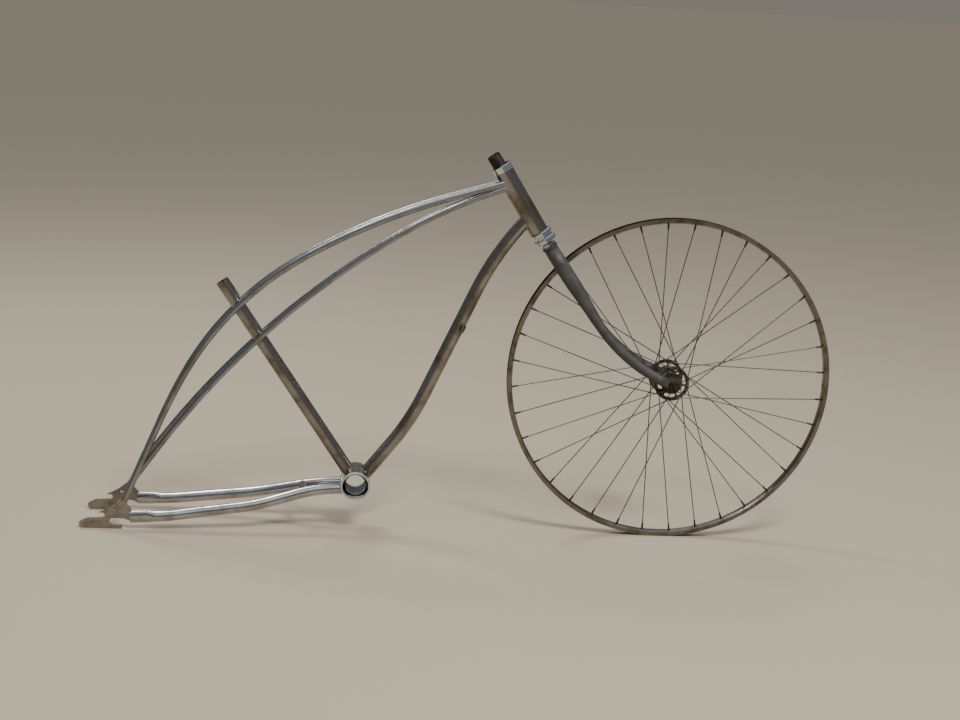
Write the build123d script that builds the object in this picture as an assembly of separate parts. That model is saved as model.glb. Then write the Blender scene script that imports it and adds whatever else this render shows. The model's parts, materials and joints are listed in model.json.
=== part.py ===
from build123d import *
import math
import os

os.makedirs("parts", exist_ok=True)

# Stretched cruiser bicycle frame with its fork and a bare wire-spoked front wheel.
# Lengths in mm, angles in degrees. Built with the front axle at (0, 0, 0), +X forward,
# +Y the rider's left and +Z up, then moved so that the origin is the middle of the seat
# tube's open mouth, where the bicycle is held. Corners of bent tubes are (x, z) or
# (x, y, z) points where two straight runs would meet; an arc rounds each of them.

# Head tube: its lower end, how far it leans back, and its tube
HEAD_AT = Vector(-273.8, 0, 279.5)
HEAD_LEAN = 33.3
HEAD_LENGTH = 132.9
HEAD_OD = 36.5
HEAD_WALL = 1.7

# Upper head cup, pressed in; the lower cup is loose and has come down with the fork
UPPER_CUP_HEIGHT = 12.5
UPPER_CUP_PLUG = 12.0
UPPER_CUP_LIP = 0.8
UPPER_CUP_WALL = 1.6
UPPER_CUP_THROAT = 31.2

# Fork: without its upper bearing it hangs askew in the head tube by a small angle,
# and the two axes cross at a height above the head tube's lower end
FORK_SLACK = 1.8
AXES_CROSS = 76.5
STEERER_OD = 25.4
STEERER_WALL = 1.6
STEERER_OUT = 24.0
REST_GAP = 0.3
LOWER_CUP_OD = 41.5
LOWER_CUP_HEIGHT = 8.5
WAIST_OD = 34.0
WAIST_HEIGHT = 5.5
RACE_OD = 43.0
RACE_HEIGHT = 9.0
RACE_TAPER = 3.5
NECK_OD = 28.4
NECK_HEIGHT = 8.5
CROWN_LIP_OD = 31.0
CROWN_LIP_HEIGHT = 3.0

# Fork legs: oval at the top, round below, bent forward to a slotted end plate
LEG_DEEP = 27.6
LEG_WIDE = 21.0
LEG_OD = 19.0
SHOULDER_SIDE = 28.0
SHOULDER_BEND = 18.0
OVAL_FROM = 24.0
OVAL_TO = 50.0
ROUND_FROM = 128.0
LEG_CORNER = Vector(-105.8, -50.5, 47.8)
LEG_END = Vector(-18.6, -53.0, 6.8)
LEG_BEND = 320.0
LEG_FLATTEN = 10.0
LEG_TIP = 9.0
FORK_GAP = 101.0
FORK_END_T = 5.0
FORK_END_R = 13.0
FORK_END_LEAN = 25.2
FORK_END_TAB = 18.0

# Front axle, its nuts and cones
AXLE_OD = 9.5
AXLE_OUT = 13.5
SLOT_CLEAR = 0.3
NUT_ACROSS = 18.0
NUT_HEIGHT = 9.0
WASHER_OD = 22.0
WASHER_T = 1.6
CONE_OD = 16.0
RUN_CLEAR = 0.06

# Wheel: rim section as (below the outer edge, half width), hub, flanges and spokes
RIM_R = 317.0
RIM_SECTION = [(0, -10.0), (0, -8.7), (6.0, -8.3), (7.6, -5.0), (8.7, 0), (7.6, 5.0), (6.0, 8.3),
               (0, 8.7), (0, 10.0), (7.2, 9.8), (9.4, 5.5), (10.2, 0), (9.4, -5.5), (7.2, -9.8)]
VALVE_HOLE = 8.5
BARREL_OD = 30.0
BARREL_BORE = 20.0
HUB_WIDTH = 75.0
CAP_OD = 26.0
CAP_T = 3.5
FLANGE_OD = 68.0
FLANGE_T = 3.0
FLANGE_GAP = 59.0
WINDOWS = 6
WINDOW_AT = 24.0
WINDOW_WIDE = 7.0
WINDOW_SPAN = 36.0
WINDOW_TURN = {-1: 24.0, 1: 54.0}
SPOKES_A_SIDE = 18
SPOKE_OD = 2.0
SPOKE_HEAD_OD = 3.8
SPOKE_CIRCLE = 60.0
SPOKE_CLEAR = 0.1
SPOKE_TURN = 60.0
SPOKE_PHASE = 14.8
NIPPLE_OD = 4.0
NIPPLE_LENGTH = 12.0

# Seat tube and bottom bracket
SEAT_TOP = Vector(-867.0, 0, 159.0)
SEAT_OD = 25.4
SEAT_WALL = 1.6
BB = Vector(-601.0, 0, -226.0)
BB_OD = 57.0
BB_WALL = 2.85
BB_WIDTH = 68.0
POST_CLEAR = 0.5
CUP_LIP = 2.0
CUP_DEEP = 12.0
CUP_WALL = 1.8
CUP_THROAT = 39.0
CUP_THROAT_LENGTH = 4.0

# Down tube and the small cable stop brazed on its front
DOWN_OD = 25.4
DOWN_WALL = 1.6
DOWN_JOIN = 33.2
DOWN_CORNERS = [Vector(-352.5, 0, 237.9), Vector(-500.0, 0, -101.5)]
DOWN_BENDS = [556.0, 469.0]
DOWN_END = Vector(9.0, 0, 4.0)
STOP_DROP = 160.0
STOP_TURN = 60.0
STOP_LONG = 16.0
STOP_WIDE = 9.0
STOP_PROUD = 5.5
STOP_SLIT = 1.6

# Twin tubes: one upper and one lower pair of slim tube from the head tube, each side of
# the seat tube, back to the dropouts. Corners are (x, z), front to back, then bend radii.
# The bow is how far a bend carries the tube outwards where it passes the seat tube.
UPPER_OD = 12.7
LOWER_OD = 11.1
SLIM_WALL = 1.5
JOIN_BEHIND = 5.2
JOIN_INSET = 8.25
UPPER_JOIN = 112.2
UPPER_CORNERS = [(-578.1, 294.1), (-856.3, 128.0), (-960.8, -74.5)]
UPPER_BENDS = [1262.0, 609.0, 1086.0]
UPPER_SPREAD = 16.0
UPPER_BOW = 4.0
UPPER_END = (-1037.5, -262.0)
LOWER_JOIN = 102.0
LOWER_CORNERS = [(-467.8, 309.1), (-802.7, 82.5)]
LOWER_BENDS = [892.0, 1594.0]
LOWER_SPREAD = 9.0
LOWER_BOW = 8.1
LOWER_TUCK = 9.0
LOWER_END = (-1022.0, -223.0)
BRAZE = 0.4

# Chainstays, their flattened rear ends and the bridge behind the bottom bracket
STAY_OD = 20.5
STAY_WALL = 1.5
STAY_CORNERS = [Vector(-680.0, -22.0, -238.5), Vector(-790.0, -45.0, -267.5), Vector(-955.0, -56.5, -289.7)]
STAY_BENDS = [250.0, 350.0, 250.0]
STAY_FLAT_AT = Vector(-980.0, -57.5, -290.9)
STAY_FLAT = (23.0, 11.0)
STAY_FLATTEN = 16.0
STAY_TIP = 30.0
BRIDGE_OD = 12.7
BRIDGE_BACK = 102.0
BRIDGE_DROP = 2.5

# Stamped dropout plates: outline seen from the right, corners (x, z) with their radii
REAR_GAP = 110.0
PLATE_T = 5.0
PLATE_CORNERS = [
    (-1122.5, -306.0, 4.0), (-1119.0, -315.2, 4.0), (-1081.5, -317.2, 0), (-1039.5, -316.6, 2.8),
    (-1041.0, -310.2, 2.8), (-1064.3, -310.2, 6.8), (-1064.3, -296.0, 6.8), (-1036.8, -296.4, 0),
    (-1025.5, -301.0, 0), (-1023.6, -279.0, 0), (-1031.5, -271.5, 6.0), (-1031.0, -258.0, 0),
    (-1024.5, -240.0, 0), (-1033.0, -240.0, 0), (-1046.0, -261.5, 12.0), (-1064.5, -276.0, 20.0)]
SLOT_AT = (-1078.3, -290.8)
SLOT_WIDE = 9.8
SLOT_RISE = 4.0
EYELET_AT = (-1056.5, -280.5)
EYELET_OD = 5.2


def leaning(angle):
    """Unit vector that leans back from upright by the angle."""
    return Vector(-math.sin(math.radians(angle)), 0, math.cos(math.radians(angle)))


def bent_path(points, radii):
    """Straight runs joined by tangent arcs, one radius for each inner corner."""
    edges = []
    at = points[0]
    for i, radius in enumerate(radii, start=1):
        corner = points[i]
        back = (points[i - 1] - corner).normalized()
        on = (points[i + 1] - corner).normalized()
        half = math.acos(max(-1.0, min(1.0, back.dot(on)))) / 2
        reach = radius / math.tan(half)
        middle = (back + on).normalized()
        centre = corner + middle * (radius / math.sin(half))
        edges.append(Edge.make_line(at, corner + back * reach))
        edges.append(Edge.make_three_point_arc(corner + back * reach, centre - middle * radius,
                                               corner + on * reach))
        at = corner + on * reach
    edges.append(Edge.make_line(at, points[-1]))
    return Wire(edges)


def bar(points, radii, diameter):
    """Solid round bar along a bent path."""
    path = bent_path(points, radii)
    start = Plane(origin=path @ 0, z_dir=path % 0)
    return sweep(start * Circle(diameter / 2), path=path)


def pipe(points, radii, diameter, wall):
    """The same bar, bored to a tube."""
    return bar(points, radii, diameter) - bar(points, radii, diameter - 2 * wall)


def rod(a, b, diameter):
    """Straight round bar from a to b."""
    return extrude(Plane(origin=a, z_dir=b - a) * Circle(diameter / 2), amount=(b - a).length)


def prism(a, b, diameter, sides=8):
    """Straight bar with flat sides, for the many thin wires."""
    section = Plane(origin=a, z_dir=b - a) * RegularPolygon(diameter / 2, sides)
    return extrude(section, amount=(b - a).length)


def across(x, z, half):
    """The two ends of a cross line from the right side to the left."""
    return Vector(x, -half, z), Vector(x, half, z)


def turned(profile, origin, up):
    """Ring or cup turned from (radius, height) corners about an axis."""
    radial = Vector(1, 0, 0) if abs(up.Y) > 0.5 else Vector(0, 1, 0)
    plane = Plane(origin=origin, x_dir=radial, z_dir=radial.cross(up))
    face = make_face(plane * Polyline(*profile, close=True))
    return revolve(face, axis=Axis(origin, up), revolution_arc=360)


def mirrored(shape):
    """The left-hand copy of a right-hand piece."""
    return mirror(shape, about=Plane.XZ)


# Head tube and its upper cup
head_up = leaning(HEAD_LEAN)
head_back = Vector(-head_up.Z, 0, head_up.X)
head_top = HEAD_AT + head_up * HEAD_LENGTH
head_bore = HEAD_OD - 2 * HEAD_WALL
head_solid = rod(HEAD_AT, head_top, HEAD_OD)
head_tube = head_solid - rod(HEAD_AT, head_top, head_bore)

cup_r = HEAD_OD / 2 + UPPER_CUP_LIP
throat_r = UPPER_CUP_THROAT / 2
upper_cup = turned([
    (throat_r, -UPPER_CUP_PLUG), (head_bore / 2, -UPPER_CUP_PLUG), (head_bore / 2, 0),
    (cup_r - 0.8, 0), (cup_r, 0.8), (cup_r, UPPER_CUP_HEIGHT - 0.8), (cup_r - 0.8, UPPER_CUP_HEIGHT),
    (cup_r - UPPER_CUP_WALL, UPPER_CUP_HEIGHT), (cup_r - UPPER_CUP_WALL, UPPER_CUP_WALL + 2.0),
    (throat_r + 0.8, UPPER_CUP_WALL), (throat_r, UPPER_CUP_WALL)], head_top, head_up)

# Bottom bracket shell with its pressed bearing cups; its wall is open where the seat tube enters
bb_solid = rod(*across(BB.X, BB.Z, BB_WIDTH / 2), BB_OD)
bb_bore = BB_OD - 2 * BB_WALL
bb_shell = bb_solid - rod(*across(BB.X, BB.Z, BB_WIDTH / 2), bb_bore)
seat_bore = SEAT_OD - 2 * SEAT_WALL
bb_shell -= rod(SEAT_TOP, BB, seat_bore + 2 * POST_CLEAR)

mouth_r = bb_bore / 2 - 0.6
cup_right = turned([
    (CUP_THROAT / 2, CUP_LIP - CUP_DEEP), (bb_bore / 2, CUP_LIP - CUP_DEEP), (bb_bore / 2, 0),
    (BB_OD / 2 - 0.4, 0), (BB_OD / 2 - 0.4, CUP_LIP - 0.7), (BB_OD / 2 - 1.1, CUP_LIP),
    (mouth_r, CUP_LIP), (mouth_r - CUP_WALL, CUP_LIP - 2.5),
    (CUP_THROAT / 2, CUP_LIP - CUP_DEEP + CUP_THROAT_LENGTH)],
    Vector(BB.X, -BB_WIDTH / 2, BB.Z), Vector(0, -1, 0))
bb_cups = [cup_right, mirrored(cup_right)]

# Seat tube, open at the top and mitred to the shell
seat_solid = rod(SEAT_TOP, BB, SEAT_OD)
seat_tube = seat_solid - rod(SEAT_TOP, BB, seat_bore) - bb_solid

# Down tube, bent at both ends
down_points = [HEAD_AT + head_up * DOWN_JOIN, *DOWN_CORNERS, BB + DOWN_END]
down_solid = bar(down_points, DOWN_BENDS, DOWN_OD)
down_tube = pipe(down_points, DOWN_BENDS, DOWN_OD, DOWN_WALL) - head_solid - bb_solid - seat_solid

# Cable stop: a slotted half-round lug on the straight run, on its front right
run = (DOWN_CORNERS[1] - DOWN_CORNERS[0]).normalized()
run_front = run.cross(Vector(0, 1, 0))
stop_angle = math.radians(STOP_TURN)
stop_out = run_front * math.cos(stop_angle) - Vector(0, 1, 0) * math.sin(stop_angle)
stop_at = DOWN_CORNERS[0] + run * STOP_DROP
stop_face = Plane(origin=stop_at + stop_out * (DOWN_OD / 2 + STOP_PROUD), x_dir=run, z_dir=-stop_out)
stop_slit = Plane(origin=stop_at + stop_out * (DOWN_OD / 2 + STOP_PROUD), x_dir=run, z_dir=stop_out)
cable_stop = extrude(stop_face * SlotOverall(STOP_LONG, STOP_WIDE), amount=STOP_PROUD + DOWN_OD / 4)
cable_stop -= stop_slit * Box(STOP_LONG * 2, STOP_SLIT, STOP_PROUD)
cable_stop -= down_solid

# Dropout plates
plate_side = REAR_GAP / 2 + PLATE_T / 2
side_view = Plane(origin=(0, -REAR_GAP / 2 - PLATE_T, 0), x_dir=(1, 0, 0), z_dir=(0, -1, 0))
outline = make_face(Polyline(*[(x, z) for x, z, r in PLATE_CORNERS], close=True))
for x, z, r in PLATE_CORNERS:
    if r:
        outline = fillet(outline.vertices().sort_by_distance((x, z, 0))[0], r)
slot_run = Vector(-math.cos(math.radians(SLOT_RISE)), -math.sin(math.radians(SLOT_RISE)), 0)
slot_reach = 2.5 * SLOT_WIDE
slot_middle = Vector(*SLOT_AT) + slot_run * slot_reach
outline -= Pos(*SLOT_AT) * Circle(SLOT_WIDE / 2)
outline -= Pos(slot_middle.X, slot_middle.Y) * Rot(0, 0, SLOT_RISE) * Rectangle(2 * slot_reach, SLOT_WIDE)
outline -= Pos(*EYELET_AT) * Circle(EYELET_OD / 2)
plate = extrude(side_view * outline, amount=-PLATE_T)

# Twin tubes, laid from the head tube along both sides of the seat tube
side_at_head = HEAD_OD / 2 - JOIN_INSET
upper_at_seat = SEAT_OD / 2 + UPPER_OD / 2 - BRAZE
lower_at_seat = SEAT_OD / 2 + LOWER_OD / 2 - BRAZE


def corner(x_z, side):
    return Vector(x_z[0], -side, x_z[1])


def at_head(height):
    return HEAD_AT + head_up * height + head_back * JOIN_BEHIND + Vector(0, -side_at_head, 0)


upper_points = [at_head(UPPER_JOIN), corner(UPPER_CORNERS[0], UPPER_SPREAD),
                corner(UPPER_CORNERS[1], upper_at_seat - UPPER_BOW), corner(UPPER_CORNERS[2], upper_at_seat + 17.0),
                corner(UPPER_END, plate_side)]
lower_points = [at_head(LOWER_JOIN), corner(LOWER_CORNERS[0], LOWER_SPREAD),
                corner(LOWER_CORNERS[1], lower_at_seat - LOWER_BOW), corner(LOWER_END, plate_side - LOWER_TUCK)]
upper_solid = bar(upper_points, UPPER_BENDS, UPPER_OD)
upper_right = pipe(upper_points, UPPER_BENDS, UPPER_OD, SLIM_WALL) - head_solid - seat_solid - plate
lower_right = pipe(lower_points, LOWER_BENDS, LOWER_OD, SLIM_WALL) - head_solid - seat_solid - upper_solid

# Chainstays with flattened tips slotted over the plates, and the bridge between them
stay_points = [Vector(BB.X + 5.0, STAY_OD / 2 + 0.5 - BB_WIDTH / 2, BB.Z - 7.0), *STAY_CORNERS, STAY_FLAT_AT]
stay_solid = bar(stay_points, STAY_BENDS, STAY_OD)
tip_run = (STAY_FLAT_AT - STAY_CORNERS[2]).normalized()
tip_from = Plane(origin=STAY_FLAT_AT, x_dir=Vector(0, 1, 0).cross(tip_run), z_dir=tip_run)
tip_section = Ellipse(STAY_FLAT[0] / 2, STAY_FLAT[1] / 2)
tip = loft([tip_from * Circle(STAY_OD / 2), tip_from.offset(STAY_FLATTEN) * tip_section])
tip += extrude(tip_from.offset(STAY_FLATTEN) * tip_section, amount=STAY_TIP)
chainstay = pipe(stay_points, STAY_BENDS, STAY_OD, STAY_WALL) + tip - bb_solid - plate
bridge_x = BB.X - BRIDGE_BACK
bridge_z = STAY_CORNERS[0].Z - BRIDGE_DROP
bridge = rod(*across(bridge_x, bridge_z, -STAY_CORNERS[0].Y), BRIDGE_OD) - stay_solid - mirrored(stay_solid)

# Fork stack, turned about the fork's own axis, from the loose lower cup to the crown.
# Heights are measured down from where the two axes cross.
fork_up = leaning(HEAD_LEAN + FORK_SLACK)
cross_at = HEAD_AT + head_up * AXES_CROSS
slack = math.radians(FORK_SLACK)
cup_top = AXES_CROSS * math.cos(slack) + HEAD_OD / 2 * math.sin(slack) + REST_GAP
waist_top = cup_top + LOWER_CUP_HEIGHT
race_top = waist_top + WAIST_HEIGHT
neck_top = race_top + RACE_HEIGHT + RACE_TAPER
lip_top = neck_top + NECK_HEIGHT
crown_top = lip_top + CROWN_LIP_HEIGHT
steerer_r = STEERER_OD / 2


def down_fork(distance, side=0.0):
    return cross_at - fork_up * distance + Vector(0, side, 0)


head_cup = turned([
    (steerer_r + 0.4, -cup_top), (LOWER_CUP_OD / 2 - 1.2, -cup_top), (LOWER_CUP_OD / 2, -cup_top - 1.2),
    (LOWER_CUP_OD / 2, -waist_top + 1.5), (WAIST_OD / 2, -waist_top), (WAIST_OD / 2, -race_top),
    (steerer_r + 3.0, -race_top), (steerer_r + 0.4, -cup_top - 3.0)], cross_at, fork_up)
crown_race = turned([
    (steerer_r, -race_top), (RACE_OD / 2 - 1.0, -race_top), (RACE_OD / 2, -race_top - 1.0),
    (RACE_OD / 2, -race_top - RACE_HEIGHT), (WAIST_OD / 2, -neck_top), (NECK_OD / 2, -neck_top),
    (NECK_OD / 2, -lip_top), (steerer_r, -lip_top)], cross_at, fork_up)

steerer_up = HEAD_LENGTH - AXES_CROSS + UPPER_CUP_HEIGHT + STEERER_OUT
steerer_foot = crown_top + LEG_DEEP / 2
steerer_solid = rod(down_fork(-steerer_up), down_fork(steerer_foot), STEERER_OD)
steerer = steerer_solid - rod(down_fork(-steerer_up), down_fork(neck_top), STEERER_OD - 2 * STEERER_WALL)

# Crown, with the legs leaving it sideways and turning down along the fork's axis
shoulder = crown_top + LEG_DEEP / 2
crown = rod(down_fork(lip_top), down_fork(crown_top), CROWN_LIP_OD)
crown += rod(down_fork(crown_top), down_fork(shoulder), LEG_DEEP)
crown -= steerer_solid

leg_corner = down_fork(shoulder, -SHOULDER_SIDE)
leg_run = (LEG_CORNER - leg_corner).normalized()
leg_from = leg_corner + leg_run * SHOULDER_BEND


def leg_plane(distance):
    return Plane(origin=leg_from + leg_run * distance, x_dir=Vector(0, 1, 0).cross(leg_run), z_dir=leg_run)


oval = Ellipse(LEG_DEEP / 2, LEG_WIDE / 2)
leg = bar([down_fork(shoulder), leg_corner, leg_from], [SHOULDER_BEND * 0.9], LEG_DEEP)
leg += loft([leg_plane(0) * Circle(LEG_DEEP / 2), leg_plane(OVAL_FROM) * oval])
leg += extrude(leg_plane(OVAL_FROM) * oval, amount=OVAL_TO - OVAL_FROM)
leg += loft([leg_plane(OVAL_TO) * oval, leg_plane(ROUND_FROM) * Circle(LEG_OD / 2)])
tip_run = (LEG_END - LEG_CORNER).normalized()
tip_from = Plane(origin=LEG_END - tip_run * LEG_FLATTEN, x_dir=Vector(0, 1, 0).cross(tip_run), z_dir=tip_run)
leg += bar([leg_plane(ROUND_FROM).origin, LEG_CORNER, tip_from.origin], [LEG_BEND], LEG_OD)
leg += loft([tip_from * Circle(LEG_OD / 2), tip_from.offset(LEG_FLATTEN) * Ellipse(LEG_OD / 2, LEG_TIP / 2)])
right_half = Plane(origin=(0, 0, 0), x_dir=(1, 0, 0), z_dir=(0, -1, 0)) * Rectangle(900, 900)
leg = leg & extrude(right_half, amount=100)
leg = leg - crown - steerer_solid

# Flat fork end with its slot facing forward and down
end_side = FORK_GAP / 2
end_run = Vector(math.cos(math.radians(FORK_END_LEAN)), -math.sin(math.radians(FORK_END_LEAN)))
end_view = Plane(origin=(0, -end_side - FORK_END_T, 0), x_dir=(1, 0, 0), z_dir=(0, -1, 0))
end_shape = Circle(FORK_END_R) + Rot(0, 0, -FORK_END_LEAN) * Pos(-FORK_END_TAB, 0) * Rectangle(
    2 * FORK_END_TAB, LEG_OD * 0.9)
end_slot = AXLE_OD + 2 * SLOT_CLEAR
end_shape -= Circle(end_slot / 2)
end_shape -= Rot(0, 0, -FORK_END_LEAN - 40) * Pos(FORK_END_R, 0) * Rectangle(2 * FORK_END_R, end_slot)
fork_end = extrude(end_view * end_shape, amount=-FORK_END_T)
leg -= fork_end

# Axle with nuts, washers and cones
nut_from = end_side + FORK_END_T
axle = rod(*across(0, 0, nut_from + AXLE_OUT), AXLE_OD)
nut_side = Vector(0, -nut_from, 0)
nut = extrude(Plane(origin=nut_side - Vector(0, WASHER_T, 0), x_dir=(1, 0, 0), z_dir=(0, -1, 0))
              * RegularPolygon(NUT_ACROSS / 2, 6, major_radius=False), amount=NUT_HEIGHT)
nut += rod(nut_side, nut_side - Vector(0, WASHER_T, 0), WASHER_OD)
nut -= axle
cone = rod(Vector(0, -end_side, 0), Vector(0, -HUB_WIDTH / 2 - 0.5, 0), CONE_OD) - axle

# Hub: steel barrel, two pressed flanges with kidney windows, and dust caps
barrel = rod(*across(0, 0, HUB_WIDTH / 2), BARREL_OD) - rod(*across(0, 0, HUB_WIDTH / 2), BARREL_BORE)
caps = []
flanges = []
for side in (-1, 1):
    cap_face = Vector(0, side * HUB_WIDTH / 2, 0)
    cap_out = Vector(0, side * CAP_T, 0)
    caps.append(rod(cap_face, cap_face + cap_out, CAP_OD)
                - rod(cap_face, cap_face + cap_out, CONE_OD + 2 * RUN_CLEAR))
    face = Circle(FLANGE_OD / 2) - Circle(BARREL_OD / 2)
    for k in range(WINDOWS):
        start = WINDOW_TURN[side] + 360.0 / WINDOWS * k - WINDOW_SPAN / 2
        middle_arc = CenterArc((0, 0), WINDOW_AT, start, WINDOW_SPAN)
        face -= SlotArc(middle_arc, WINDOW_WIDE)
    for k in range(SPOKES_A_SIDE):
        angle = 360.0 / SPOKES_A_SIDE * (k - (side + 1) / 4) + SPOKE_PHASE
        face -= PolarLocations(SPOKE_CIRCLE / 2, 1, start_angle=angle) * RegularPolygon(
            SPOKE_OD / 2 + SPOKE_CLEAR, 12)
    inner = side * FLANGE_GAP / 2
    flange_view = Plane(origin=(0, inner, 0), x_dir=(1, 0, 0), z_dir=(0, -1, 0))
    flanges.append(extrude(flange_view * face, amount=-side * FLANGE_T))

# Rim, turned from its section, with a valve hole between two spokes
rim_face = make_face(Polyline(*[(0, half, RIM_R - depth) for depth, half in RIM_SECTION], close=True))
rim = revolve(rim_face, axis=Axis.Y, revolution_arc=360)
rim_bed = RIM_R - RIM_SECTION[11][0]
valve_run = Vector(1, 0, 0)
rim -= rod(valve_run * (rim_bed - 5), valve_run * RIM_R, VALVE_HOLE)

# Spokes, three-cross: each leaves its flange hole on the outer or inner face in turn and
# runs on or back round the hub to its nipple in the rim. One of each kind is made with its
# hole straight ahead of the axle, then turned to every second hole.
spokes = {-1: [], 1: []}
nipples = []
flange_mid = FLANGE_GAP / 2 + FLANGE_T / 2
hug = FLANGE_T / 2 + SPOKE_OD / 2
for side in (-1, 1):
    for outward, gap, first in ((1, hug + 1.15, 0), (-1, hug + 0.1, 1)):
        seat = math.radians(SPOKE_TURN * outward)
        hole_at = Vector(SPOKE_CIRCLE / 2, 0, 0)
        foot = hole_at + Vector(0, side * (flange_mid + outward * gap), 0)
        rim_at = Vector((rim_bed - 0.3) * math.cos(seat), side * 1.5, (rim_bed - 0.3) * math.sin(seat))
        run = (rim_at - foot).normalized()
        head = hole_at + Vector(0, side * (flange_mid - outward * (FLANGE_T / 2 + 0.9)), 0)
        elbow = Vector(0, side * outward, 0)
        spoke = prism(foot - run * SPOKE_OD / 2, rim_at - run * (NIPPLE_LENGTH - 2.0), SPOKE_OD)
        spoke += prism(head - elbow * 0.9, foot + elbow * SPOKE_OD / 2, SPOKE_OD)
        spoke += prism(head - elbow * 0.9, head, SPOKE_HEAD_OD)
        nipple = prism(rim_at - run * NIPPLE_LENGTH, rim_at + run, NIPPLE_OD)
        nipple = nipple - prism(rim_at - run * NIPPLE_LENGTH, rim_at + run, SPOKE_OD) - rim
        for k in range(first, SPOKES_A_SIDE, 2):
            angle = 360.0 / SPOKES_A_SIDE * (k - (side + 1) / 4) + SPOKE_PHASE
            spokes[side].append(spoke.rotate(Axis.Y, -angle))
            nipples.append(nipple.rotate(Axis.Y, -angle))

NODES = [
    ("head_tube", head_tube),
    ("upper_head_cup", upper_cup),
    ("seat_tube", seat_tube),
    ("down_tube", down_tube),
    ("down_tube_boss", cable_stop),
    ("bottom_bracket_shell", bb_shell),
    ("bottom_bracket_cups", bb_cups),
    ("upper_tube_right", upper_right),
    ("upper_tube_left", mirrored(upper_right)),
    ("lower_tube_right", lower_right),
    ("lower_tube_left", mirrored(lower_right)),
    ("chainstay_right", chainstay),
    ("chainstay_left", mirrored(chainstay)),
    ("chainstay_bridge", bridge),
    ("dropouts", [plate, mirrored(plate)]),
    ("head_cup", head_cup),
    ("steerer", steerer),
    ("crown_race", crown_race),
    ("fork_crown", crown),
    ("fork_blade_right", leg),
    ("fork_blade_left", mirrored(leg)),
    ("fork_ends", [fork_end, mirrored(fork_end)]),
    ("front_axle", axle),
    ("axle_nuts", [nut, mirrored(nut)]),
    ("axle_cones", [cone, mirrored(cone)]),
    ("rim", rim),
    ("hub_shell", barrel),
    ("hub_flanges", flanges),
    ("hub_caps", caps),
    ("spokes_right", spokes[-1]),
    ("spokes_left", spokes[1]),
    ("nipples", nipples),
]

for name, shape in NODES:
    pieces = shape if isinstance(shape, list) else [shape]
    solids = [solid.moved(Location(-SEAT_TOP)) for piece in pieces for solid in piece.solids()]
    whole = Compound(children=solids) if len(solids) > 1 else solids[0]
    export_step(whole, f"parts/{name}.step")
    box = whole.bounding_box()
    print(name, len(solids), round(whole.volume, 1), [round(v, 1) for v in (*box.min, *box.max)])
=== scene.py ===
import bpy
import json
import math
from mathutils import Matrix, Vector


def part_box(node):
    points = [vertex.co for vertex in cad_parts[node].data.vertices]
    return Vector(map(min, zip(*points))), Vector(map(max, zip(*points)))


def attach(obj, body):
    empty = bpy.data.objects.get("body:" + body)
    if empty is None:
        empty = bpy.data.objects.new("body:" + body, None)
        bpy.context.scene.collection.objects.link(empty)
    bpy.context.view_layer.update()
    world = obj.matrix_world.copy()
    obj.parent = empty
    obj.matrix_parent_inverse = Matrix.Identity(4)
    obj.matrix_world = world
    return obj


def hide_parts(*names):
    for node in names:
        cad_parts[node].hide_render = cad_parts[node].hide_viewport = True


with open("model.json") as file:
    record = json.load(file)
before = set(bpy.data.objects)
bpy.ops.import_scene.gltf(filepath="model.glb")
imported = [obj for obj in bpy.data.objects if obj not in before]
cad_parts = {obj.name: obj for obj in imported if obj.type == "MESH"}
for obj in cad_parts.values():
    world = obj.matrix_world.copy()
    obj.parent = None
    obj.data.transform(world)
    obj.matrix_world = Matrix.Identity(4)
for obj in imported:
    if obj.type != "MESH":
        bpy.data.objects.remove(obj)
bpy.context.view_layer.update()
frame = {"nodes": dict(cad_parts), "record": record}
nodes = frame["nodes"]
# The pieces' own sizes are in millimetres, and MM turns them to metres.
MM = 0.001

# Camera: stands a little in front of the bottom bracket and looks slightly down at the
# right side of the frame. Its axes are the picture's right, up and view directions.
CAMERA_AT = Vector((0.2049, -3.0903, 0.5634))
PICTURE_RIGHT = Vector((0.99508, -0.08062, 0.05761))
PICTURE_UP = Vector((-0.03828, 0.22342, 0.97397))
LENS_MM, SENSOR_MM = 61.875, 36.0

view_back = PICTURE_RIGHT.cross(PICTURE_UP)
camera_data = bpy.data.cameras.new("camera")
camera_data.lens = LENS_MM
camera_data.sensor_width = SENSOR_MM
camera = bpy.data.objects.new("camera", camera_data)
bpy.context.scene.collection.objects.link(camera)
camera.matrix_world = Matrix((
    (PICTURE_RIGHT.x, PICTURE_UP.x, view_back.x, CAMERA_AT.x),
    (PICTURE_RIGHT.y, PICTURE_UP.y, view_back.y, CAMERA_AT.y),
    (PICTURE_RIGHT.z, PICTURE_UP.z, view_back.z, CAMERA_AT.z),
    (0, 0, 0, 1)))
bpy.context.scene.camera = camera


# Floor: one flat sheet under the wheel, pale and warm like dry concrete, plain and dull.
# Its colour is what the undersides of the chrome tubes mirror.
FLOOR_Z, FLOOR_SIDE = -0.476, 400.0
FLOOR_COLOUR, FLOOR_ROUGHNESS = "#A59883", 0.9


def linear(hex_colour):
    """sRGB hex to the linear RGBA that a shader socket takes."""
    parts = [int(hex_colour[i:i + 2], 16) / 255 for i in (1, 3, 5)]
    return [p / 12.92 if p <= 0.04045 else ((p + 0.055) / 1.055) ** 2.4 for p in parts] + [1.0]


def add(tree, kind, values=None, links=None, **settings):
    """Adds one node: its settings, the values of its sockets and what is linked to them."""
    made = tree.nodes.new(kind)
    for name, value in settings.items():
        setattr(made, name, value)
    for socket, value in (values or {}).items():
        made.inputs[socket].default_value = value
    for socket, source in (links or {}).items():
        tree.links.new(source, made.inputs[socket])
    return made


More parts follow.
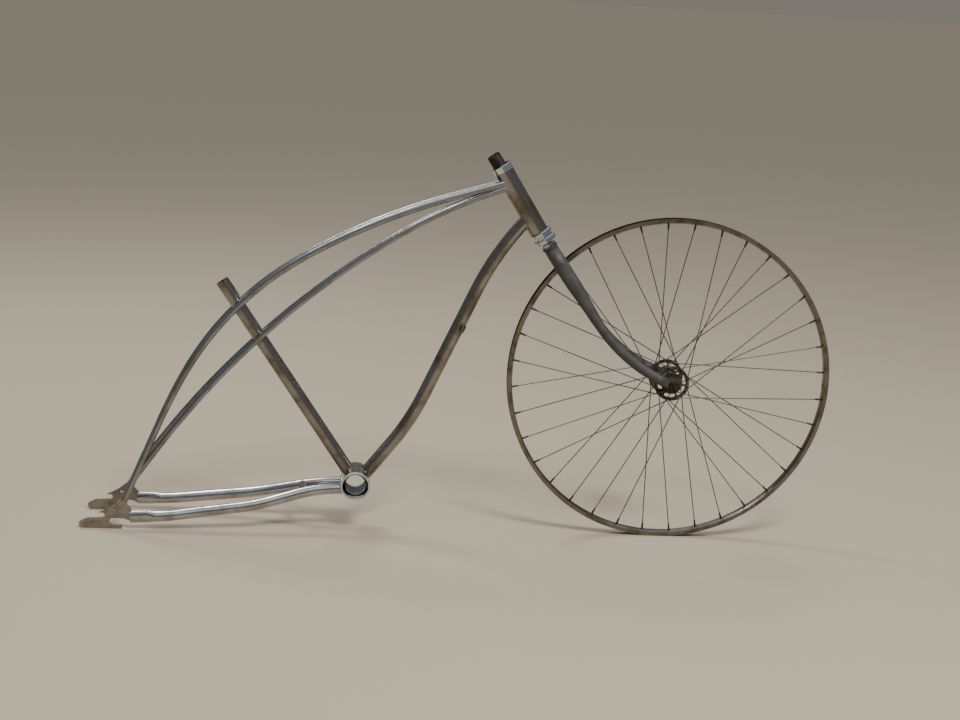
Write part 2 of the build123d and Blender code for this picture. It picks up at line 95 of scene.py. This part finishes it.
def new_material(name):
    """An empty node material with its Principled shader joined to the output."""
    material = bpy.data.materials.new(name)
    material.use_nodes = True
    tree = material.node_tree
    tree.nodes.clear()
    shader = tree.nodes.new("ShaderNodeBsdfPrincipled")
    add(tree, "ShaderNodeOutputMaterial", links={"Surface": shader.outputs["BSDF"]})
    return material, tree, shader


bpy.ops.object.select_all(action="DESELECT")
bpy.ops.mesh.primitive_plane_add(size=FLOOR_SIDE, location=(0, 0, FLOOR_Z))
floor = bpy.context.object
floor.name = "floor"
floor_material, tree, shader = new_material("dry concrete floor")
shader.inputs["Base Color"].default_value = linear(FLOOR_COLOUR)
shader.inputs["Roughness"].default_value = FLOOR_ROUGHNESS
floor.data.materials.append(floor_material)


# Lights: a soft box high on the right front, a smaller one behind that edges the tubes,
# and a grey room with a brown-grey back wall and a long bright window overhead. Chrome
# takes its dark sides, its white top lines and its pale edges from these three.
KEY_AT, KEY_SIDE, KEY_WATTS = Vector((1.5, -2.3, 3.3)), 1.1, 190.0
EDGE_AT, EDGE_SIDE, EDGE_WATTS = Vector((-0.9, 1.7, 2.6)), 1.0, 60.0
LIT_POINT = Vector((0.4, 0, -0.1))
ROOM_GREY, ROOM_WALL, ROOM_WINDOW = "#7A7E84", "#7E7971", "#F4F8FC"
WINDOW_NARROWING = -0.45

lamps = (("key", KEY_AT, KEY_SIDE, KEY_WATTS), ("edge", EDGE_AT, EDGE_SIDE, EDGE_WATTS))
for light_name, light_at, light_side, watts in lamps:
    light_data = bpy.data.lights.new(light_name, "AREA")
    light_data.size = light_side
    light_data.energy = watts
    light = bpy.data.objects.new(light_name, light_data)
    bpy.context.scene.collection.objects.link(light)
    light.location = light_at
    light.rotation_euler = (LIT_POINT - light_at).to_track_quat("-Z", "Y").to_euler()

world = bpy.data.worlds.new("room")
bpy.context.scene.world = world
world.use_nodes = True
tree = world.node_tree
tree.nodes.clear()
direction = add(tree, "ShaderNodeTexCoord")
split = add(tree, "ShaderNodeSeparateXYZ", links={"Vector": direction.outputs["Generated"]})
sideways = add(tree, "ShaderNodeMath", links={0: split.outputs["X"]}, operation="ABSOLUTE")
height = add(tree, "ShaderNodeMath", {1: WINDOW_NARROWING},
             {0: sideways.outputs["Value"], 2: split.outputs["Z"]}, operation="MULTIPLY_ADD")
window = add(tree, "ShaderNodeMapRange", {"From Min": 0.42, "From Max": 0.58},
             {"Value": height.outputs["Value"]})
behind = add(tree, "ShaderNodeMapRange", {"From Min": 0.1, "From Max": 0.45},
             {"Value": split.outputs["Y"]})
below = add(tree, "ShaderNodeMapRange",
            {"From Min": 0.32, "From Max": 0.48, "To Min": 1.0, "To Max": 0.0},
            {"Value": split.outputs["Z"]})
wall = add(tree, "ShaderNodeMath", operation="MULTIPLY",
           links={0: behind.outputs["Result"], 1: below.outputs["Result"]})
around = add(tree, "ShaderNodeMix", {"A": linear(ROOM_GREY), "B": linear(ROOM_WALL)},
             {"Factor": wall.outputs["Value"]}, data_type="RGBA")
room = add(tree, "ShaderNodeMix", {"B": linear(ROOM_WINDOW)},
           {"Factor": window.outputs["Result"], "A": around.outputs["Result"]}, data_type="RGBA")
glow = add(tree, "ShaderNodeBackground", {"Strength": 1.0}, {"Color": room.outputs["Result"]})
add(tree, "ShaderNodeOutputWorld", links={"Surface": glow.outputs["Background"]})


# Chainstays, bridge and shell: seamless steel tube, brazed, then chrome plated.
# The plate is old but still a mirror, with thin haze in patches and a slight waviness from
# grinding. Its pin-head pits are drawn coarser than real ones, so that they show.
STAIN_MM, GRINDING_MM, PIT_MM, PIT_DEPTH_MM = 19.0, 16.0, 1.4, 0.012
STAIN_FADE, STAIN_ROUGHENS, STAINED_METAL = 0.1, 0.35, 0.35


def finish_nodes(material, *names):
    """Gives each CAD node the one material."""
    for name in names:
        mesh = nodes[name].data
        mesh.materials.clear()
        mesh.materials.append(material)


def old_chrome(name, clear, haze, stain, gloss, stain_from, ripple_mm, haze_mm=48.0):
    """Chrome plate that goes from clear to hazed, with brown stains where it has lifted."""
    material, tree, shader = new_material(name)
    at = add(tree, "ShaderNodeTexCoord").outputs["Object"]
    patches = add(tree, "ShaderNodeTexNoise",
                  {"Scale": 1 / (haze_mm * MM), "Detail": 5.0, "Roughness": 0.6}, {"Vector": at})
    hazed = add(tree, "ShaderNodeMapRange", {"From Min": 0.45, "From Max": 0.66},
                {"Value": patches.outputs["Fac"]}).outputs["Result"]
    blots = add(tree, "ShaderNodeTexNoise",
                {"Scale": 1 / (STAIN_MM * MM), "Detail": 9.0, "Roughness": 0.68}, {"Vector": at})
    lifted = add(tree, "ShaderNodeMapRange",
                 {"From Min": stain_from, "From Max": stain_from + STAIN_FADE},
                 {"Value": blots.outputs["Fac"]}).outputs["Result"]
    plate = add(tree, "ShaderNodeMix", {"A": linear(clear), "B": linear(haze)},
                {"Factor": hazed}, data_type="RGBA")
    colour = add(tree, "ShaderNodeMix", {"B": linear(stain)},
                 {"Factor": lifted, "A": plate.outputs["Result"]}, data_type="RGBA")
    metal = add(tree, "ShaderNodeMapRange", {"To Min": 1.0, "To Max": STAINED_METAL},
                {"Value": lifted})
    rough = add(tree, "ShaderNodeMapRange", {"To Min": gloss[0], "To Max": gloss[1]},
                {"Value": hazed})
    rougher = add(tree, "ShaderNodeMath", {1: STAIN_ROUGHENS},
                  {0: lifted, 2: rough.outputs["Result"]},
                  operation="MULTIPLY_ADD", use_clamp=True)
    waves = add(tree, "ShaderNodeTexNoise",
                {"Scale": 1 / (GRINDING_MM * MM), "Detail": 2.0}, {"Vector": at})
    wavy = add(tree, "ShaderNodeBump", {"Distance": ripple_mm * MM},
               {"Height": waves.outputs["Fac"]})
    pits = add(tree, "ShaderNodeTexNoise",
               {"Scale": 1 / (PIT_MM * MM), "Detail": 3.0}, {"Vector": at})
    pitted = add(tree, "ShaderNodeBump", {"Distance": PIT_DEPTH_MM * MM},
                 {"Height": pits.outputs["Fac"], "Normal": wavy.outputs["Normal"]})
    tree.links.new(colour.outputs["Result"], shader.inputs["Base Color"])
    tree.links.new(metal.outputs["Result"], shader.inputs["Metallic"])
    tree.links.new(rougher.outputs["Value"], shader.inputs["Roughness"])
    tree.links.new(pitted.outputs["Normal"], shader.inputs["Normal"])
    return material


bright_plate = old_chrome("old chrome plate on steel tube",
                          "#B4B5B8", "#918C84", "#6B5A46", (0.12, 0.26), 0.7, 0.07)
finish_nodes(bright_plate, "chainstay_right", "chainstay_left", "chainstay_bridge",
             "bottom_bracket_shell")

# Slim curved tubes: two pairs of thin steel tube, bent in long arcs and brazed in at their
# ends. They have the same plate, a little rougher, and its colour is darkened to a soft dark
# grey as painted shade: it stands in for the dark surroundings that these tubes mirror.
slim_chrome_with_painted_shade = old_chrome("slim tube chrome, darkened as painted shade",
                        "#97989C", "#7C7973", "#5A4C3C", (0.26, 0.38), 0.68, 0.05)
finish_nodes(slim_chrome_with_painted_shade, "upper_tube_right", "upper_tube_left", "lower_tube_right",
             "lower_tube_left")

# Head tube, seat tube, down tube and cable stop: the same plate, more worn and rougher, with
# cloudy edges to what it mirrors. Its colour is darkened to gunmetal grey and browned in
# patches as painted shade and painted reflection of the brown floor.
dull_chrome_with_painted_shade = old_chrome("steel tube chrome, darkened and browned as painted shade",
                        "#938F8A", "#6A6154", "#4A4033", (0.2, 0.36), 0.66, 0.12)
finish_nodes(dull_chrome_with_painted_shade, "head_tube", "seat_tube", "down_tube", "down_tube_boss")

# Pressed cups of the head and the bottom bracket, and the crown race: hardened steel,
# turned and plated, so the brightest metal on the frame.
cup_plate = old_chrome("chrome plate on turned steel cup",
                       "#D5D9DE", "#A9ACB0", "#6B5A46", (0.05, 0.16), 0.7, 0.02)
finish_nodes(cup_plate, "upper_head_cup", "head_cup", "crown_race", "bottom_bracket_cups")

# Dropouts: plates stamped from 5 mm steel and brazed to the ends of the tubes. They are
# thinly plated and were never polished, so they are grey-brown and dull.
plate_steel = old_chrome("thin plating on stamped steel",
                         "#969087", "#7A746A", "#4F453A", (0.34, 0.5), 0.66, 0.05, 20.0)
finish_nodes(plate_steel, "dropouts")

# Fork crown, legs and ends: steel sprayed with matte grey paint, no clear coat. It is
# dusty, rubbed paler in patches and stained brown in places. The speckle of the spray is
# drawn coarser than it is, so that it shows.
PAINT_GREY, PAINT_PALE, PAINT_BROWN = "#363533", "#474441", "#332B26"
RUB_MM, PAINT_STAIN_MM, SPECKLE_MM, SPECKLE_DEPTH_MM = 26.0, 11.0, 0.7, 0.02

fork_paint, tree, shader = new_material("matte grey spray paint on steel")
at = add(tree, "ShaderNodeTexCoord").outputs["Object"]
rubs = add(tree, "ShaderNodeTexNoise",
           {"Scale": 1 / (RUB_MM * MM), "Detail": 6.0, "Roughness": 0.65}, {"Vector": at})
rubbed = add(tree, "ShaderNodeMapRange", {"From Min": 0.4, "From Max": 0.7},
             {"Value": rubs.outputs["Fac"]}).outputs["Result"]
stains = add(tree, "ShaderNodeTexNoise",
             {"Scale": 1 / (PAINT_STAIN_MM * MM), "Detail": 8.0, "Roughness": 0.7}, {"Vector": at})
stained = add(tree, "ShaderNodeMapRange", {"From Min": 0.56, "From Max": 0.72, "To Max": 0.8},
              {"Value": stains.outputs["Fac"]})
grey = add(tree, "ShaderNodeMix", {"A": linear(PAINT_GREY), "B": linear(PAINT_PALE)},
           {"Factor": rubbed}, data_type="RGBA")
paint = add(tree, "ShaderNodeMix", {"B": linear(PAINT_BROWN)},
            {"Factor": stained.outputs["Result"], "A": grey.outputs["Result"]},
            data_type="RGBA")
dusty = add(tree, "ShaderNodeMapRange", {"To Min": 0.5, "To Max": 0.68}, {"Value": rubbed})
speckles = add(tree, "ShaderNodeTexNoise",
               {"Scale": 1 / (SPECKLE_MM * MM), "Detail": 2.0}, {"Vector": at})
speckled = add(tree, "ShaderNodeBump", {"Distance": SPECKLE_DEPTH_MM * MM},
               {"Height": speckles.outputs["Fac"]})
tree.links.new(paint.outputs["Result"], shader.inputs["Base Color"])
tree.links.new(dusty.outputs["Result"], shader.inputs["Roughness"])
tree.links.new(speckled.outputs["Normal"], shader.inputs["Normal"])
finish_nodes(fork_paint, "fork_crown", "fork_blade_right", "fork_blade_left", "fork_ends")


# Steerer, axle, nuts and cones: bare steel gone to dark red-brown rust, dry and rough,
# nearly black where old grease has kept it.
RUST_MM, GRAIN_DEPTH_MM = 9.0, 0.08
DARK_UP_TO, BROWN_AT, BRIGHT_FROM = 0.38, 0.55, 0.72


def rusty_steel(name, dark, brown, bright, metal, grain_mm):
    """Rust over steel, from greasy dark to dry orange-brown, with a granular surface."""
    material, tree, shader = new_material(name)
    at = add(tree, "ShaderNodeTexCoord").outputs["Object"]
    clouds = add(tree, "ShaderNodeTexNoise",
                 {"Scale": 1 / (RUST_MM * MM), "Detail": 7.0, "Roughness": 0.7},
                 {"Vector": at}).outputs["Fac"]
    rust = add(tree, "ShaderNodeValToRGB", links={"Fac": clouds})
    stops = rust.color_ramp.elements
    stops[0].position, stops[0].color = DARK_UP_TO, linear(dark)
    stops[1].position, stops[1].color = BRIGHT_FROM, linear(bright)
    stops.new(BROWN_AT).color = linear(brown)
    shiny = add(tree, "ShaderNodeMapRange",
                {"From Min": 0.4, "From Max": 0.6, "To Min": metal, "To Max": 0.05},
                {"Value": clouds})
    rough = add(tree, "ShaderNodeMapRange",
                {"From Min": 0.35, "From Max": 0.65, "To Min": 0.42, "To Max": 0.85},
                {"Value": clouds})
    grains = add(tree, "ShaderNodeTexNoise",
                 {"Scale": 1 / (grain_mm * MM), "Detail": 4.0, "Roughness": 0.6}, {"Vector": at})
    grainy = add(tree, "ShaderNodeBump", {"Distance": GRAIN_DEPTH_MM * MM},
                 {"Height": grains.outputs["Fac"]})
    tree.links.new(rust.outputs["Color"], shader.inputs["Base Color"])
    tree.links.new(shiny.outputs["Result"], shader.inputs["Metallic"])
    tree.links.new(rough.outputs["Result"], shader.inputs["Roughness"])
    tree.links.new(grainy.outputs["Normal"], shader.inputs["Normal"])
    return material


steerer_rust = rusty_steel("dark rust on threaded steel",
                           "#120D0C", "#211614", "#3A241B", 0.35, 0.8)
finish_nodes(steerer_rust, "steerer", "front_axle", "axle_nuts", "axle_cones")

# Hub: pressed steel flanges on a barrel, once plated. The plate is mostly gone, and what
# is left is brown rust with dull metal between.
hub_rust = rusty_steel("brown rust on plated hub", "#2B2620", "#3F3328", "#5E4935", 0.7, 0.9)
finish_nodes(hub_rust, "hub_shell", "hub_flanges", "hub_caps")

# Crown race: the turned ring is still chrome, and the neck under it is given the steerer's
# dark material, so it shows darker. The two are told apart by how far down the fork's axis a face
# lies.
RACE_NECK_MM = 4.5

stem = next(mount for mount in frame["record"]["mounts"] if mount["name"] == "stem_bore")
fork_axis = Vector(stem["axis"]).normalized()
race = nodes["crown_race"].data
race.materials.append(steerer_rust)
race_heights = [face.center.dot(fork_axis) for face in race.polygons]
neck_top = min(race_heights) + RACE_NECK_MM * MM
for face, face_height in zip(race.polygons, race_heights):
    if face_height < neck_top:
        face.material_index = 1

# Rim: rolled steel strip, chrome plated. Dull and brown-grey on the sides, with glints
# along the rolled edges.
rim_plate = old_chrome("aged chrome plate on rolled steel rim",
                       "#7A766E", "#5C564D", "#40362D", (0.2, 0.38), 0.66, 0.05, 30.0)
finish_nodes(rim_plate, "rim")


# Spokes and nipples: drawn 2 mm wire, its zinc gone dark grey, in darker nipples of plated
# brass. Each spoke has a pressed head, bends at the elbow in its flange hole and crosses
# three others on its way to the rim. One of each kind is bent, then copied round the wheel.
SPOKE_OD, SPOKE_HEAD_OD, SPOKE_HEAD_T = 2.0, 3.8, 0.9
HOLES_RADIUS, FLANGE_MIDDLE, FLANGE_T = 30.0, 31.0, 3.0
OUTER_GAP, INNER_GAP = 1.15, 0.1
BEND_FROM, ELBOW_STRAIGHT, END_SHORT = 0.7, 4.0, 3.0
SEAT_RADIUS, SEAT_SIDE, CROSSING_DEG, PHASE_DEG = 306.5, 1.5, 60.0, 14.8
NIPPLE_FOOT_OD, NIPPLE_OD, NIPPLE_LONG, NIPPLE_IN_RIM = 3.3, 4.2, 12.0, 1.0
SPOKES_A_SIDE = 18
KEPT_EDGE = math.radians(40)
WIRE_DARK, WIRE_PALE, WIRE_METAL, TARNISH_MM = "#4A4844", "#6E6B65", 0.85, 7.0
DARK_WIRE_UP_TO, PALE_WIRE_FROM = 0.35, 0.7
NIPPLE_COLOUR, NIPPLE_METAL, NIPPLE_ROUGHNESS = "#3B3732", 0.8, 0.5


def use_alone(piece):
    """Makes the piece the only selected and active object, for the operators."""
    bpy.ops.object.select_all(action="DESELECT")
    piece.select_set(True)
    bpy.context.view_layer.objects.active = piece


def join_pieces(parts, name):
    """Joins the parts into one named piece."""
    use_alone(parts[0])
    for part in parts[1:]:
        part.select_set(True)
    bpy.ops.object.join()
    joined = bpy.context.object
    joined.name = name
    return joined


def bent_wire(route):
    """A round wire along the route, with closed ends."""
    bpy.ops.curve.primitive_nurbs_path_add()
    path = bpy.context.object.data
    for point, at in zip(path.splines[0].points, route):
        point.co = (*(at * MM), 1.0)
    path.splines[0].order_u = 3
    path.splines[0].use_endpoint_u = True
    path.resolution_u = 4
    path.bevel_depth = SPOKE_OD / 2 * MM
    path.bevel_resolution = 2
    path.use_fill_caps = True
    use_alone(bpy.context.object)
    bpy.ops.object.convert(target="MESH")
    return bpy.context.object


wire_zinc, tree, shader = new_material("dulled zinc on drawn steel wire")
at = add(tree, "ShaderNodeTexCoord").outputs["Object"]
tarnish = add(tree, "ShaderNodeTexNoise", {"Scale": 1 / (TARNISH_MM * MM), "Detail": 5.0},
              {"Vector": at}).outputs["Fac"]
tarnished = add(tree, "ShaderNodeValToRGB", links={"Fac": tarnish})
stops = tarnished.color_ramp.elements
stops[0].position, stops[0].color = DARK_WIRE_UP_TO, linear(WIRE_DARK)
stops[1].position, stops[1].color = PALE_WIRE_FROM, linear(WIRE_PALE)
worn = add(tree, "ShaderNodeMapRange",
           {"From Min": DARK_WIRE_UP_TO, "From Max": PALE_WIRE_FROM, "To Min": 0.4, "To Max": 0.6},
           {"Value": tarnish})
tree.links.new(tarnished.outputs["Color"], shader.inputs["Base Color"])
tree.links.new(worn.outputs["Result"], shader.inputs["Roughness"])
shader.inputs["Metallic"].default_value = WIRE_METAL

nipple_brass, tree, shader = new_material("darkened plating on brass nipples")
shader.inputs["Base Color"].default_value = linear(NIPPLE_COLOUR)
shader.inputs["Metallic"].default_value = NIPPLE_METAL
shader.inputs["Roughness"].default_value = NIPPLE_ROUGHNESS

rim_low, rim_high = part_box("rim")
wheel_middle = (rim_low + rim_high) / 2
wires = {"right": [], "left": []}
nipples = []
for side_name, side, half_step in (("right", -1, 0.0), ("left", 1, 0.5)):
    for outward, gap, first in ((1, OUTER_GAP, 0), (-1, INNER_GAP, 1)):
        head_y = side * (FLANGE_MIDDLE - outward * (FLANGE_T / 2 + SPOKE_HEAD_T))
        elbow_y = side * (FLANGE_MIDDLE + outward * (FLANGE_T / 2 + SPOKE_OD / 2 + gap))
        crossed = math.radians(CROSSING_DEG * outward)
        head = Vector((HOLES_RADIUS, head_y, 0))
        elbow = Vector((HOLES_RADIUS, elbow_y, 0))
        seat = Vector((SEAT_RADIUS * math.cos(crossed), side * SEAT_SIDE,
                       SEAT_RADIUS * math.sin(crossed)))
        run = (seat - elbow).normalized()
        wire = bent_wire((head, head.lerp(elbow, BEND_FROM), elbow, elbow + run * ELBOW_STRAIGHT,
                          seat - run * END_SHORT))
        bpy.ops.mesh.primitive_cylinder_add(
            vertices=16, radius=SPOKE_HEAD_OD / 2 * MM, depth=SPOKE_HEAD_T * MM,
            location=head * MM, rotation=(math.radians(90), 0, 0))
        button = bpy.context.object
        bpy.ops.object.transform_apply(location=True, rotation=True, scale=True)
        wire = join_pieces([wire, button], "wire")
        wire.data.materials.append(wire_zinc)
        nipple_middle = seat - run * (NIPPLE_LONG / 2 - NIPPLE_IN_RIM)
        bpy.ops.mesh.primitive_cone_add(
            vertices=14, radius1=NIPPLE_FOOT_OD / 2 * MM, radius2=NIPPLE_OD / 2 * MM,
            depth=NIPPLE_LONG * MM, location=nipple_middle * MM,
            rotation=run.to_track_quat("Z", "Y").to_euler())
        nipple = bpy.context.object
        bpy.ops.object.transform_apply(location=True, rotation=True, scale=True)
        nipple.data.materials.append(nipple_brass)
        for hole in range(first, SPOKES_A_SIDE, 2):
            angle = 360 / SPOKES_A_SIDE * (hole - half_step) + PHASE_DEG
            turn = Matrix.Rotation(-math.radians(angle), 4, "Y")
            place = Matrix.Translation(wheel_middle) @ turn
            for master, group in ((wire, wires[side_name]), (nipple, nipples)):
                copy = master.copy()
                copy.data = master.data.copy()
                copy.data.transform(place)
                bpy.context.scene.collection.objects.link(copy)
                group.append(copy)
        bpy.data.objects.remove(wire)
        bpy.data.objects.remove(nipple)
for side_name, group in wires.items():
    laced = join_pieces(group, "spoke_wires_" + side_name)
    bpy.ops.object.shade_smooth_by_angle(angle=KEPT_EDGE)
    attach(laced, "wheel")
    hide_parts("spokes_" + side_name)
seated = join_pieces(nipples, "spoke_nipples")
bpy.ops.object.shade_smooth_by_angle(angle=KEPT_EDGE)
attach(seated, "wheel")
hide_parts("nipples")


# Brazed joints: brass run round where the tubes meet, filed smooth and plated with them.
# Local copies of the tubes are melted into one skin, rounded and drawn in a little, so
# that only the fillets stand out of the tubes.
VOXEL_MM, ROUNDING_STEPS, DRAWN_IN_MM, KEPT_FACES = 0.8, 44, 0.42, 0.5
MERGE_MM = 0.01


def brazed_joint(name, meeting, middle_mm, reach_mm, plate):
    """One skin of fillets round the place where the named tubes meet."""
    near = []
    for node in meeting:
        local = nodes[node].copy()
        local.data = nodes[node].data.copy()
        bpy.context.scene.collection.objects.link(local)
        use_alone(local)
        bpy.ops.object.mode_set(mode="EDIT")
        bpy.ops.mesh.select_all(action="SELECT")
        bpy.ops.mesh.remove_doubles(threshold=MERGE_MM * MM)
        bpy.ops.object.mode_set(mode="OBJECT")
        block_side = 2 * reach_mm * MM
        bpy.ops.mesh.primitive_cube_add(size=block_side, location=Vector(middle_mm) * MM)
        block = bpy.context.object
        cut = local.modifiers.new("near the joint", "BOOLEAN")
        cut.operation = "INTERSECT"
        cut.object = block
        use_alone(local)
        bpy.ops.object.modifier_apply(modifier=cut.name)
        bpy.data.objects.remove(block)
        near.append(local)
    skin = join_pieces(near, name)
    melt = skin.modifiers.new("melt", "REMESH")
    melt.mode = "VOXEL"
    melt.voxel_size = VOXEL_MM * MM
    rounding = skin.modifiers.new("round", "SMOOTH")
    rounding.iterations = ROUNDING_STEPS
    drawn = skin.modifiers.new("draw in", "DISPLACE")
    drawn.strength = -DRAWN_IN_MM * MM
    drawn.mid_level = 0.0
    fewer = skin.modifiers.new("fewer faces", "DECIMATE")
    fewer.ratio = KEPT_FACES
    for modifier in list(skin.modifiers):
        bpy.ops.object.modifier_apply(modifier=modifier.name)
    bpy.ops.object.shade_smooth()
    skin.data.materials.clear()
    skin.data.materials.append(plate)
    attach(skin, "frame")


UPPER_PAIR = ("upper_tube_right", "upper_tube_left")
LOWER_PAIR = ("lower_tube_right", "lower_tube_left")
STAYS = ("chainstay_right", "chainstay_left")
# The fillets take the plates of their tubes. The slim and dull plates carry painted shade in their
# darkened colour, which also keeps the fillets' glints low.
brazed_joint("slim_tubes_at_head_fillet", ("head_tube", *UPPER_PAIR, *LOWER_PAIR),
             (526, 0, 205), 30, slim_chrome_with_painted_shade)
brazed_joint("down_tube_at_head_fillet", ("head_tube", "down_tube"),
             (573, 0, 150), 29, dull_chrome_with_painted_shade)
brazed_joint("upper_tubes_at_seat_fillet", ("seat_tube", *UPPER_PAIR),
             (22, 0, -34), 26, dull_chrome_with_painted_shade)
brazed_joint("lower_tubes_at_seat_fillet", ("seat_tube", *LOWER_PAIR),
             (58, 0, -86), 26, dull_chrome_with_painted_shade)
brazed_joint("tubes_at_shell_fillet", ("bottom_bracket_shell", "seat_tube", "down_tube"),
             (266, 0, -360), 33, dull_chrome_with_painted_shade)
brazed_joint("stays_at_shell_fillet", ("bottom_bracket_shell", *STAYS),
             (234, 0, -392), 35, bright_plate)


# Threads: rolled on the steerer's bare end and on both ends of the axle, rusted with them.
# Each is a ridge whose root lies inside the bar and whose crest stands a little out of it.
ROOT_DEPTH_MM, CREST_HEIGHT_MM, CREST_SHARE, RIDGE_SHARE = 0.3, 0.22, 0.45, 0.9
STEM_INSERT_MM, STEERER_R, STEERER_PITCH, STEERER_TURNS, STEERER_LEAD = 30.0, 12.7, 1.06, 32, 1.2
AXLE_R, AXLE_PITCH, AXLE_TURNS, AXLE_LEAD = 4.75, 1.0, 11, 0.8
STEPS_A_TURN = 28


def thread(name, start, along, radius_mm, pitch_mm, turns, body, rust):
    """A ridge wound round the bar of this radius, from start."""
    root, crest = (radius_mm - ROOT_DEPTH_MM) * MM, (radius_mm + CREST_HEIGHT_MM) * MM
    pitch = pitch_mm * MM
    corners = [(root, 0, 0), (crest, 0, pitch * CREST_SHARE), (root, 0, pitch * RIDGE_SHARE)]
    profile = bpy.data.meshes.new(name)
    profile.from_pydata(corners, [(0, 1), (1, 2), (2, 0)], [])
    ridge = bpy.data.objects.new(name, profile)
    bpy.context.scene.collection.objects.link(ridge)
    use_alone(ridge)
    wound = ridge.modifiers.new("wound", "SCREW")
    wound.screw_offset = pitch
    wound.iterations = turns
    wound.steps = wound.render_steps = STEPS_A_TURN
    bpy.ops.object.modifier_apply(modifier=wound.name)
    bpy.ops.object.mode_set(mode="EDIT")
    bpy.ops.mesh.select_all(action="SELECT")
    bpy.ops.mesh.fill_holes(sides=3)
    bpy.ops.mesh.select_all(action="SELECT")
    bpy.ops.mesh.normals_make_consistent(inside=False)
    bpy.ops.object.mode_set(mode="OBJECT")
    turned = along.to_track_quat("Z", "Y").to_matrix().to_4x4()
    ridge.data.transform(Matrix.Translation(start) @ turned)
    ridge.data.materials.append(rust)
    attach(ridge, body)


steerer_top = Vector(stem["pos_m"]) + fork_axis * STEM_INSERT_MM * MM
thread("steerer_thread", steerer_top - fork_axis * STEERER_LEAD * MM, -fork_axis,
       STEERER_R, STEERER_PITCH, STEERER_TURNS, "fork", steerer_rust)
axle_low, axle_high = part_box("front_axle")
for end_name, end_y, inward in (("right", axle_low.y, 1.0), ("left", axle_high.y, -1.0)):
    start = Vector((wheel_middle.x, end_y + inward * AXLE_LEAD * MM, wheel_middle.z))
    thread("axle_thread_" + end_name, start, Vector((0, inward, 0)),
           AXLE_R, AXLE_PITCH, AXLE_TURNS, "fork", steerer_rust)
